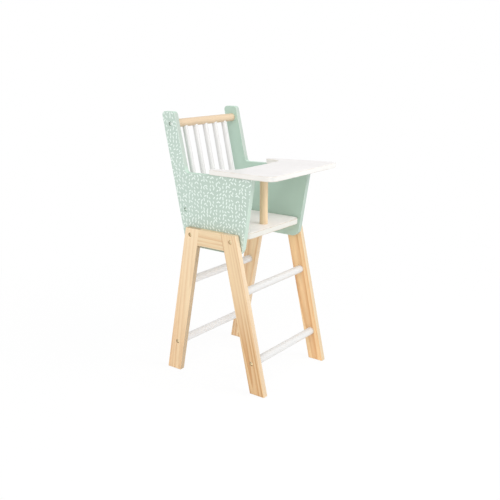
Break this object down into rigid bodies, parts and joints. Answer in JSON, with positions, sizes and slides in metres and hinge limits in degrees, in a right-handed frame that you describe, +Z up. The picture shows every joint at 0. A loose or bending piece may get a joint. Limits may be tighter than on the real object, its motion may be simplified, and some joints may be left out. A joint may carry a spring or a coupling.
{
  "type": "doll high chair",
  "caption": "Toy high chair for dolls with splayed leg frames, side panels as armrests, a slatted back, rungs and a lift-off tray on a post.",
  "frame": {"origin": "on the floor, under the middle of the chair", "axes": "+Z up, +Y towards the back of the chair, +X towards the sitter's left"},
  "size_m": [0.2548, 0.3038, 0.59],
  "materials": {
    "pine": "clear satin lacquer over pine",
    "beech": "clear satin lacquer over pale hardwood",
    "white_paint": "satin white paint on wood",
    "green_paint": "satin sage green paint on board, with a pale fleck print outside",
    "steel": "nickel plated"
  },
  "bodies": {
    "chair": {"right_rear_leg": "pine", "right_front_leg": "pine", "right_crosspiece": "pine", "right_side_panel": "green_paint", "left_rear_leg": "pine", "left_front_leg": "pine", "left_crosspiece": "pine", "left_side_panel": "green_paint", "frame_joint_dowels": "beech", "seat_board": "white_paint", "rear_seat_rail": "pine", "front_seat_rail": "pine", "seat_screws": "steel", "top_back_rail": "beech", "lower_back_rail": "white_paint", "back_slat_1": "white_paint", "back_slat_2": "white_paint", "back_slat_3": "white_paint", "back_slat_4": "white_paint", "back_slat_5": "white_paint", "rear_lower_rung": "white_paint", "rear_upper_rung": "white_paint", "front_lower_rung": "white_paint", "front_upper_rung": "white_paint", "frame_screws": "steel", "rung_screws": "steel", "back_rail_screws": "steel"},
    "tray": {"tray_board": "white_paint", "tray_post": "beech", "tray_pegs": "beech"}
  },
  "joints": [
    {"name": "tray_lift", "type": "slide", "parent": "chair", "child": "tray", "axis": [0, 0, 1], "range_m": [0, 0.13]}
  ]
}
